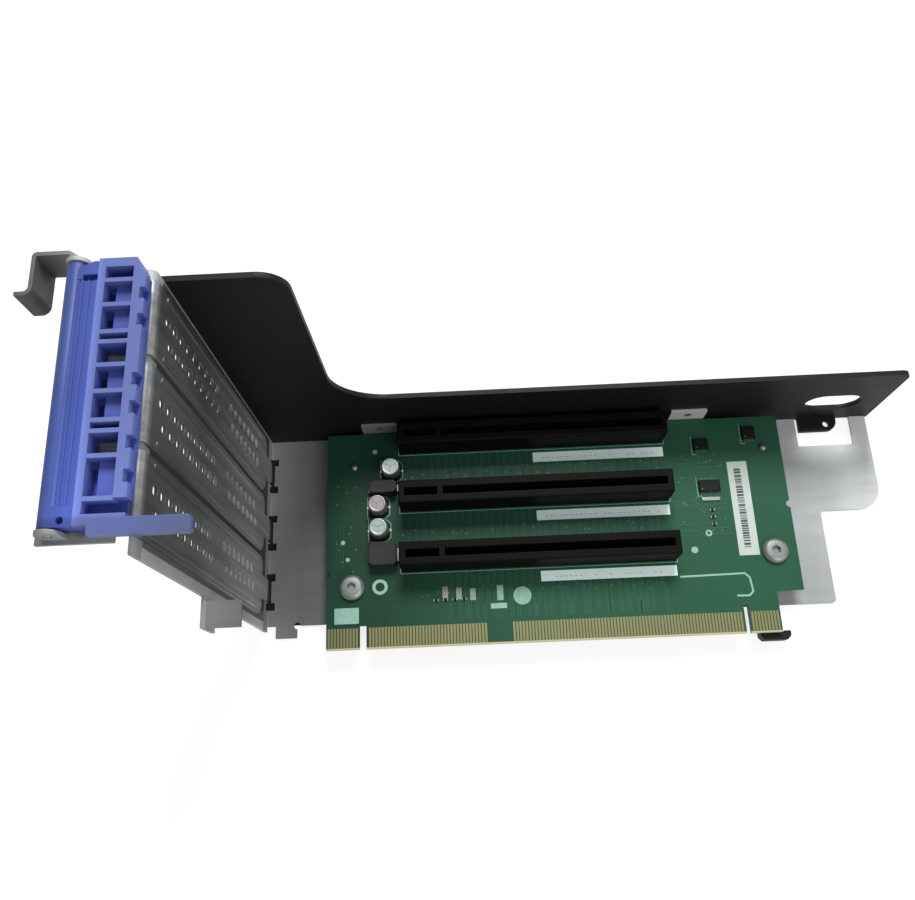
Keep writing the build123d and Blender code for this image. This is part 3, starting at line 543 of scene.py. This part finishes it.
# %% Shaping helpers
def lathe(mesh, profile, centre, up=(0, 0, 1), steps=32):
    """Spins a profile of (radius, height) in mm round the axis up through centre."""
    axis = Vector(up)
    side = axis.orthogonal().normalized()
    points = [mesh.verts.new((Vector(centre) + side * r + axis * h) * MM) for r, h in profile]
    edges = [mesh.edges.new(pair) for pair in zip(points, points[1:])]
    bmesh.ops.spin(mesh, geom=points + edges, cent=Vector(centre) * MM, axis=axis, angle=tau, steps=steps,
                   use_merge=True)
    bmesh.ops.remove_doubles(mesh, verts=mesh.verts[:], dist=merge_gap / 2 * MM)
    bmesh.ops.recalc_face_normals(mesh, faces=mesh.faces[:])


def block(mesh, low, high, edge=0.1, segments=2):
    """A box between two corners in mm, with its edges rounded by edge mm."""
    low, high = Vector(low), Vector(high)
    placed = Matrix.LocRotScale((low + high) / 2 * MM, None, (high - low) * MM)
    made = bmesh.ops.create_cube(mesh, size=1, matrix=placed)
    rounded(mesh, list({e for v in made["verts"] for e in v.link_edges}), edge, segments)


def cone(mesh, centre, lower, upper, height, sides):
    """A closed cone or prism round a centre in mm, with its lower and upper radius in mm."""
    return bmesh.ops.create_cone(mesh, cap_ends=True, segments=sides, radius1=lower * MM, radius2=upper * MM,
                                 depth=height * MM, matrix=Matrix.Translation(Vector(centre) * MM))


def sheet(mesh, paths, along, thickness):
    """Open paths of points in mm, drawn out by the vector along and then given a thickness."""
    lines = []
    for path in paths:
        points = [mesh.verts.new(Vector(point) * MM) for point in path]
        lines += [mesh.edges.new(pair) for pair in zip(points, points[1:])]
    drawn = bmesh.ops.extrude_edge_only(mesh, edges=lines)["geom"]
    bmesh.ops.translate(mesh, verts=[item for item in drawn if isinstance(item, bmesh.types.BMVert)],
                        vec=Vector(along) * MM)
    faces = [item for item in drawn if isinstance(item, bmesh.types.BMFace)]
    bmesh.ops.recalc_face_normals(mesh, faces=faces)
    bmesh.ops.solidify(mesh, geom=faces, thickness=thickness * MM)


def box_mm(node):
    """The lowest and highest corner of a node, in mm."""
    low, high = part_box(node)
    return low / MM, high / MM


def solids(node):
    """The lowest and highest corner in mm of each separate solid in a node.

    They are sorted from the cover down to the gold edge, and then by x.
    """
    mesh = merged(node)
    left = set(mesh.verts)
    boxes = []
    while left:
        reached = [left.pop()]
        for corner in reached:
            beside = {edge.other_vert(corner) for edge in corner.link_edges} & left
            left -= beside
            reached += beside
        low, high = (Vector([pick(corner.co[axis] for corner in reached) for axis in range(3)]) / MM
                     for pick in (min, max))
        boxes.append((low, high))
    mesh.free()
    return sorted(boxes, key=lambda box: (round(-box[0].y), box[0].x))


def middle(box):
    """The x and y of a box's middle, in mm."""
    return ((box[0] + box[1]) / 2)[:2]


board_low, board_high = box_mm("riser_board")
face = board_high.z
board_back = board_low.z
print("board face at", round(face, 2), "mm")

# %% [markdown]
# The board is held by two pan head screws. A pan head is cold formed: a low dome, a flat top and a
# six-sided recess punched into it. The head is turned with an open top. A hexagon is joined to its rim and
# then pushed down, which makes the recess.

# %% Pan head screws
head_radius = 4.1
head_height = 2.1
shank_radius = 1.5
recess_radius = 1.5
recess_depth = 1.2
head_profile = [(recess_radius + 0.5, head_height), (3.0, head_height - 0.08), (3.65, head_height - 0.4),
                (head_radius, head_height - 1.1), (head_radius, 0.1), (head_radius - 0.1, 0),
                (shank_radius, 0)]

mesh = bmesh.new()
for box in solids("board_screws"):
    x, y = middle(box)
    tip = box[0].z - face
    lathe(mesh, head_profile + [(shank_radius, tip), (0, tip)], (x, y, face), steps=48)
    outer = [edge for edge in mesh.edges if edge.is_boundary]
    hexagon = bmesh.ops.create_circle(mesh, cap_ends=True, segments=6, radius=recess_radius * MM,
                                      matrix=Matrix.Translation(Vector((x, y, face + head_height)) * MM))
    socket = hexagon["verts"][0].link_faces[0]
    inner = list(socket.edges)
    bmesh.ops.bridge_loops(mesh, edges=outer + inner)
    pushed = bmesh.ops.extrude_discrete_faces(mesh, faces=[socket])["faces"][0]
    bmesh.ops.translate(mesh, verts=pushed.verts[:], vec=(0, 0, -recess_depth * MM))
    bmesh.ops.bridge_loops(mesh, edges=inner + list(pushed.edges))
bmesh.ops.recalc_face_normals(mesh, faces=mesh.faces[:])
finished(mesh, "pan_screws", bright_steel, stands_for=["board_screws"])

# %% [markdown]
# Rivets and pins are turned too. The two cover rivets sit flush on the cover with a low dome. The locating
# pins stand on hexagonal feet and end in a rounded tip, so that the board drops over them. The hinge pin's
# ends are rounded where they pass the lugs.

# %% Rivets and pins
dome_rise = 0.8
dome = [(0, dome_rise), (0.9, 0.72), (1.6, 0.5), (2.05, 0.2), (2.2, 0), (1.2, 0), (1.2, -2.6), (0, -2.6)]
turned_steps = 28
mesh = bmesh.new()
for low, high in solids("cover_rivets"):
    seat = ((low.x + high.x) / 2, high.y - dome_rise, (low.z + high.z) / 2)
    lathe(mesh, dome, seat, up=(0, 1, 0), steps=turned_steps)
finished(mesh, "domed_rivets", bright_steel, stands_for=["cover_rivets"])

low, high = box_mm("peg_rivet")
shank = low.z - high.z + dome_rise
mesh = bmesh.new()
lathe(mesh, [(r, h if h >= 0 else shank) for r, h in dome], (*middle((low, high)), high.z - dome_rise),
      steps=turned_steps)
finished(mesh, "peg_rivet_head", bright_steel, stands_for=["peg_rivet"])

foot_radius = 2.4
foot_edge = 0.12
pin_tip = [(0, 0), (0.55, 0.1), (0.95, 0.4), (1.25, 0.9)]
pin_radius = pin_tip[-1][0]
mesh = bmesh.new()
for low, high in solids("locating_pins"):
    x, y = middle((low, high))
    foot = cone(mesh, (x, y, (board_back + low.z) / 2), foot_radius, foot_radius, board_back - low.z, 6)
    rounded(mesh, list({e for v in foot["verts"] for e in v.link_edges}), foot_edge)
    pin_rise = high.z - board_back
    lathe(mesh, [(r, pin_rise - drop) for r, drop in pin_tip] + [(pin_radius, 0), (0, 0)], (x, y, board_back),
          steps=turned_steps)
finished(mesh, "rounded_pins", bright_steel, stands_for=["locating_pins"])

hinge_end = [(0, 0), (0.6, 0.05), (0.9, 0.25), (1.0, 0.5)]
low, high = box_mm("latch_pin")
hinge_length = high.y - low.y
mesh = bmesh.new()
lathe(mesh, hinge_end + [(r, hinge_length - h) for r, h in reversed(hinge_end)],
      ((low.x + high.x) / 2, low.y, (low.z + high.z) / 2), up=(0, 1, 0), steps=turned_steps)
finished(mesh, "hinge_pin", bright_steel, stands_for=["latch_pin"])

# %% [markdown]
# An aluminium can capacitor is a deep-drawn can rolled in over a rubber bung. That leaves a groove near the
# foot, a rounded rim and three scored lines on top, where the can may open. Two tinned tabs reach out from
# under its base.

# %% Capacitors
can_places = [middle(box) for box in solids("capacitor_cans")]
can_finishes = [can_metal, can_rose, can_metal]
low, high = box_mm("capacitor_cans")
can_height = high.z - low.z
dish = 0.05
can_profile = [(0, can_height - dish), (2.2, can_height - dish), (2.35, can_height), (2.7, can_height - 0.05),
               (2.93, can_height - 0.3), (3.0, can_height - 0.7), (3.0, 1.75), (2.72, 1.4), (2.72, 1.15),
               (3.0, 0.8), (2.95, 0.1), (2.8, 0), (0, 0)]
for number, ((x, y), metal) in enumerate(zip(can_places, can_finishes), start=1):
    mesh = bmesh.new()
    lathe(mesh, can_profile, (x, y, low.z), steps=40)
    finished(mesh, f"can_{number}", metal,
             stands_for=["capacitor_cans"] if number == 1 else ())

score_length = 1.9
score_width = 0.14
score_rise = 0.015
score_turn = 0.5
top = high.z - dish
mesh = bmesh.new()
for x, y in can_places:
    for turn in range(3):
        angle = turn * tau / 3 + score_turn
        end = (x + score_length * cos(angle), y + score_length * sin(angle), top)
        sheet(mesh, [[(x, y, top), end]], (0, 0, score_rise), score_width)
finished(mesh, "can_scores", print_grey)

tab_centre = 3.5
tab_half = (0.5, 0.45)
tab_height = 0.35
mesh = bmesh.new()
for x, y in can_places:
    for tab in (x - tab_centre, x + tab_centre):
        block(mesh, (tab - tab_half[0], y - tab_half[1], face),
              (tab + tab_half[0], y + tab_half[1], face + tab_height), 0.08)
finished(mesh, "can_tabs", solder)

# %% [markdown]
# The two grey-brown blocks are power inductors: pressed ferrite with the ends of the coil brought out as
# flat tabs. The pressing leaves its corners cut off and its top edge soft.

# %% Inductors
coil_tab_half = 0.43
coil_tab_height = 1.1
coil_tab_share = 0.28
dressed("power_inductors", "ferrite_blocks", ferrite, 0.35, segments=3)
mesh = bmesh.new()
for low, high in solids("power_inductors"):
    x, y = middle((low, high))
    reach = (high.y - low.y) * coil_tab_share
    for end in (low.x, high.x):
        block(mesh, (end - coil_tab_half, y - reach, face),
              (end + coil_tab_half, y + reach, face + coil_tab_height), 0.1)
finished(mesh, "inductor_tabs", solder)

# %% [markdown]
# Small chips are moulded in black epoxy round a stamped copper frame. The frame's legs leave the sides at
# half height, bend down and end flat on the board. A leg is a bent path that is drawn out to the leg's
# width and then given the sheet's thickness. A small disc marks the first leg. A chip resistor has a tinned
# cap on each end.

# %% Chips and resistors
leg_pitch = 0.8
leg_width = 0.32
leg_sheet = 0.12
leg_margin = 0.6
leg_path = [(-0.2, 0.6), (0.15, 0.6), (0.3, 0.5), (0.42, 0.12), (0.55, 0.08), (0.85, 0.08)]
mark_inset = 0.9
mark_profile = [(0, 0.012), (0.3, 0.012), (0.32, 0), (0, 0)]
chips = solids("logic_chips")
dressed("logic_chips", "chip_bodies", chip_black, 0.08)
legs = []
for low, high in chips:
    count = int((high.x - low.x - leg_margin) / leg_pitch)
    for index in range(count):
        at = (low.x + high.x - leg_width) / 2 + (index - (count - 1) / 2) * leg_pitch
        for side, wall in ((-1, low.y), (1, high.y)):
            legs.append([(at, wall + side * reach, face + rise) for reach, rise in leg_path])
mesh = bmesh.new()
sheet(mesh, legs, (leg_width, 0, 0), leg_sheet)
finished(mesh, "chip_legs", leg_metal)
mesh = bmesh.new()
for low, high in chips:
    lathe(mesh, mark_profile, (low.x + mark_inset, low.y + mark_inset, high.z), steps=16)
finished(mesh, "chip_marks", print_grey)

cap_centre = 0.15
cap_half = 0.18
cap_skin = 0.03
dressed("chip_resistors", "resistor_bodies", chip_black, 0.06)
mesh = bmesh.new()
for low, high in solids("chip_resistors"):
    for end in (low.x + cap_centre, high.x - cap_centre):
        block(mesh, (end - cap_half, low.y - cap_skin, face),
              (end + cap_half, high.y + cap_skin, high.z + cap_skin), 0.06)
finished(mesh, "resistor_caps", solder)

# %% [markdown]
# A card slot of this length has 82 springs on each side: 11 before its key and 71 after it, one millimetre
# apart. Each is a stamped strip that bows into the groove, where it presses on the card's gold pads. Its
# tail goes through the board and is soldered behind, in rows that alternate.

# %% Contact springs and solder tails
springs_before = 11
springs_after = 71
spring_pitch = 1.0
first_spring = 0.5
key_after = 10.65
key_length = 1.9
spring_path = [(0.05, 0.1), (0.12, 1.8), (0.42, 3.7), (0.5, 4.3), (0.3, 5.0), (0.1, 5.5)]
spring_width = 0.5
spring_sheet = 0.12
tail_rows = (2.4, 1.0)
tail_tip = 0.14
tail_foot = 0.44
tail_height = 0.7
for number in (1, 2, 3):
    low, high = box_mm(f"slot_{number}_contacts")
    starts = [low.x + first_spring + index * spring_pitch for index in range(springs_before)]
    starts += [low.x + key_after + key_length + spring_pitch + index * spring_pitch
               for index in range(springs_after)]
    mesh = bmesh.new()
    sheet(mesh, [[(at - spring_width / 2, wall + side * bow, low.z + rise) for bow, rise in spring_path]
                 for at in starts for side, wall in ((1, low.y), (-1, high.y))], (spring_width, 0, 0),
          spring_sheet)
    finished(mesh, f"slot_{number}_springs", spring_shade_gold,
             stands_for=[f"slot_{number}_contacts"])
    mesh = bmesh.new()
    row = (low.y + high.y) / 2
    for index, at in enumerate(starts):
        for side in (-1, 1):
            cone(mesh, (at, row + side * tail_rows[index % 2], board_back - tail_height / 2), tail_tip,
                 tail_foot, tail_height, 7)
    finished(mesh, f"slot_{number}_tails", solder)

# %% [markdown]
# The gold fingers on the back are the same strips as on the face, so the face's solid is copied through the
# board.

# %% Fingers on the back
finger_top = box_mm("edge_contacts_front")[1].z
mesh = merged("edge_contacts_front")
bmesh.ops.translate(mesh, verts=mesh.verts[:], vec=(0, 0, (board_back - finger_top) * MM))
finished(mesh, "back_fingers", gold, stands_for=["edge_contacts_back"])

# %% [markdown]
# Traces are flat copper lines under the lacquer. One helper lays lines of any width along paths, and
# another one makes rings and discs.

# %% Lines, rings and discs on the board
def laid(mesh, paths, width, rise=0.015):
    """Flat lines of one width along paths of (x, y) in mm on the board's face."""
    sheet(mesh, [[(x, y, face) for x, y in path] for path in paths], (0, 0, rise), width)


def ringed(mesh, x, y, inner, outer, rise=0.02, steps=20):
    """A flat ring, or a disc where inner is 0, on the board's face."""
    profile = [(inner, rise), (outer, rise), (outer, 0), (inner, 0)]
    lathe(mesh, profile + profile[:1] if inner else profile, (x, y, face), steps=steps)


rows = [sum(corner.y for corner in box_mm(f"slot_{number}")) / 2 for number in (1, 2, 3)]
print("slot rows at y", [round(row, 2) for row in rows])

# %% [markdown]
# A pair of traces leaves each lane of the front slot, jogs sideways at 45 degrees and ends above a pair of
# gold fingers. Shorter pairs run from the other slots to the next one. A few lines turn corners to the
# right of the slots and to the left of them.

# %% Copper traces
random.seed(7)
trace_width = 0.24
pair_gap = 0.36
lane_start = 4.2
front_lanes, front_first, front_pitch, front_end = 30, 16, 2.35, 8.2
front_jog = 1.4
front_bends = (12.5, 19.0)
upper_lanes, upper_first, upper_pitch, upper_bend, upper_end = 34, 3, 2.5, 8.6, 15.8
upper_jog = 1.0
right_lines = (34.0, 36.0, 42.4, 44.0, 57.0, 58.6)
left_lines = (25.2, 26.4, 27.6)
slot_start = box_mm("slot_3")[0].x
traces = []
for lane in range(front_lanes):
    x = slot_start + front_first + lane * front_pitch
    jog = random.uniform(-front_jog, front_jog)
    bend = random.uniform(*front_bends)
    for side in (-1, 1):
        at = x + side * pair_gap
        traces.append([(at, rows[2] - lane_start), (at, bend), (at + jog, bend - abs(jog)),
                       (at + jog, front_end)])
for row in rows[:2]:
    bend = row - upper_bend
    for lane in range(upper_lanes):
        x = slot_start + upper_first + lane * upper_pitch
        jog = random.uniform(-upper_jog, upper_jog)
        for side in (-1, 1):
            at = x + side * pair_gap
            traces.append([(at, row - lane_start), (at, bend), (at + jog, bend - abs(jog)),
                           (at + jog, row - upper_end)])
for y in right_lines:
    traces.append([(137.5, y), (144.0, y), (145.5, y - 1.5), (155.0, y - 1.5)])
for x in left_lines:
    traces.append([(x, 26.0), (x, 40.0), (x + 3.0, 43.0), (x + 3.0, 56.0)])
mesh = bmesh.new()
laid(mesh, traces, trace_width)
finished(mesh, "copper_traces", trace_green)

# %% [markdown]
# Small plated holes take signals through the board. They lie scattered in a band below each slot and in two
# fields beside the slots.

# %% Plated holes
hole_radius = 0.14
band_pads, band_first, band_pitch, band_drop = 26, 2, 3.4, 9.8
band_ring = 0.3
field_ring = 0.32
fields = [(16, (138.5, 29.0), (16, 32)), (12, (25.0, 24.5), (8, 30))]
mesh = bmesh.new()
for row in rows:
    for number in range(band_pads):
        x = slot_start + band_first + number * band_pitch + random.uniform(-1.5, 1.5)
        ringed(mesh, x, row - band_drop + random.uniform(-3.0, 0.8), hole_radius, band_ring, steps=10)
for count, (x, y), (wide, tall) in fields:
    for number in range(count):
        ringed(mesh, x + random.uniform(0, wide), y + random.uniform(0, tall), hole_radius, field_ring,
               steps=10)
finished(mesh, "plated_holes", via_green)

# %% [markdown]
# White print marks the board: an outline round each slot and can, a corner beside each chip, plain blocks
# and a disc where a real board has its codes, a few rings and one long bracket-shaped line. Nothing is
# written, since the print here is only shapes. Three tinned pads and a tinned bar lie beside it.

# %% Printed shapes
print_width = 0.2
print_rise = 0.02
slot_margin = 0.6
base_reach = 3.8
base_corner = 2.4
bracket_line = [(136.4, 19.0), (157.3, 19.3), (158.9, 17.7), (159.4, 13.0), (157.9, 11.5), (153.8, 11.6)]
bracket_width = 0.6
chip_margin, chip_reach, chip_foot = 0.4, 1.2, 0.9
large_ring = (39.4, 19.6, 1.5, 2.5)
round_marks = [(142.2, 27.3, 0.0, 1.1), (147.5, 32.7, 0.5, 1.1), (38.1, 66.0, 0.0, 0.8),
               (27.3, 34.8, 0.0, 0.7), (28.9, 29.0, 0.0, 0.7)]
outlines = []
for number in (1, 2, 3):
    low, high = box_mm(f"slot_{number}")
    x0, y0, x1, y1 = low.x - slot_margin, low.y - slot_margin, high.x + slot_margin, high.y + slot_margin
    outlines.append([(x0, y0), (x1, y0), (x1, y1), (x0, y1), (x0, y0)])
for x, y in can_places:
    outlines.append([(x - base_reach, y - base_reach), (x + base_corner, y - base_reach),
                     (x + base_reach, y - base_corner), (x + base_reach, y + base_corner),
                     (x + base_corner, y + base_reach), (x - base_reach, y + base_reach),
                     (x - base_reach, y - base_reach)])
for low, high in chips:
    outlines.append([(low.x - chip_margin, high.y + chip_reach), (low.x - chip_margin, low.y - chip_reach),
                     (low.x + chip_foot, low.y - chip_reach)])
mesh = bmesh.new()
laid(mesh, outlines, print_width, print_rise)
laid(mesh, [bracket_line], bracket_width, print_rise)
ringed(mesh, *large_ring, steps=36)
for mark in round_marks:
    ringed(mesh, *mark)
finished(mesh, "print_lines", silk_white)

block_rise = 0.03
plain_disc = (85.3, 14.9, 0.0, 2.9)
plain_blocks = [((24.6, 8.1), (32.5, 13.2)), ((77.2, 13.7), (79.2, 18.6)), ((75.0, 11.1), (80.2, 12.8))]
mesh = bmesh.new()
ringed(mesh, *plain_disc, rise=block_rise, steps=40)
for low, high in plain_blocks:
    block(mesh, (*low, face), (*high, face + block_rise), 0.01, 1)
finished(mesh, "print_blocks", silk_white)

pads = [(60.5, 17.0), (64.9, 16.4), (69.4, 16.0)]
pad_half = (0.9, 1.9)
pad_rise = 0.06
tinned_bar = ((146.6, 43.6), (152.6, 44.8))
bar_height = 0.5
mesh = bmesh.new()
for x, y in pads:
    block(mesh, (x - pad_half[0], y - pad_half[1], face), (x + pad_half[0], y + pad_half[1], face + pad_rise),
          0.02)
block(mesh, (*tinned_bar[0], face), (*tinned_bar[1], face + bar_height), 0.1)
finished(mesh, "tinned_pads", solder)

# %% [markdown]
# The tall label carries rows of grey bars, and each strip has a few short ones. They stand for print that
# the real labels have, without any word or number.

# %% Bars on the labels
bar_rise = 0.01
bar_edge = 0.002
label_foot, label_head, label_left, label_right = 2.6, 3.0, 2.0, 2.4
mesh = bmesh.new()
low, high = box_mm("board_label")
y = low.y + label_foot
while y < high.y - label_head:
    thick = random.choice((0.3, 0.5, 0.8))
    block(mesh, (low.x + label_left, y, high.z), (high.x - label_right, y + thick, high.z + bar_rise),
          bar_edge, 1)
    y += thick + random.choice((0.2, 0.3, 0.45))
finished(mesh, "label_bars", print_grey)

strip_bars, strip_first, strip_pitch = 24, 3.0, 1.6
strip_drop = (7.4, 7.2)
strip_length = 0.9
strip_share = 0.7
mesh = bmesh.new()
low, high = box_mm("slot_strips")
for row in rows:
    for number in range(strip_bars):
        x = low.x + strip_first + number * strip_pitch
        if random.random() < strip_share:
            block(mesh, (x, row - strip_drop[0], high.z),
                  (x + strip_length, row - strip_drop[1], high.z + bar_rise), bar_edge, 1)
finished(mesh, "strip_bars", silk_white)

# %% [markdown]
# The fingers on the face are the one solid that stays as it came, since they are too thin for a rounded
# edge to show. It only takes the gold.

# %% Finish on the solid that stays
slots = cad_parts["edge_contacts_front"].data.materials
slots.clear()
slots.append(gold)
print("edge_contacts_front keeps its shape and takes", gold.name)
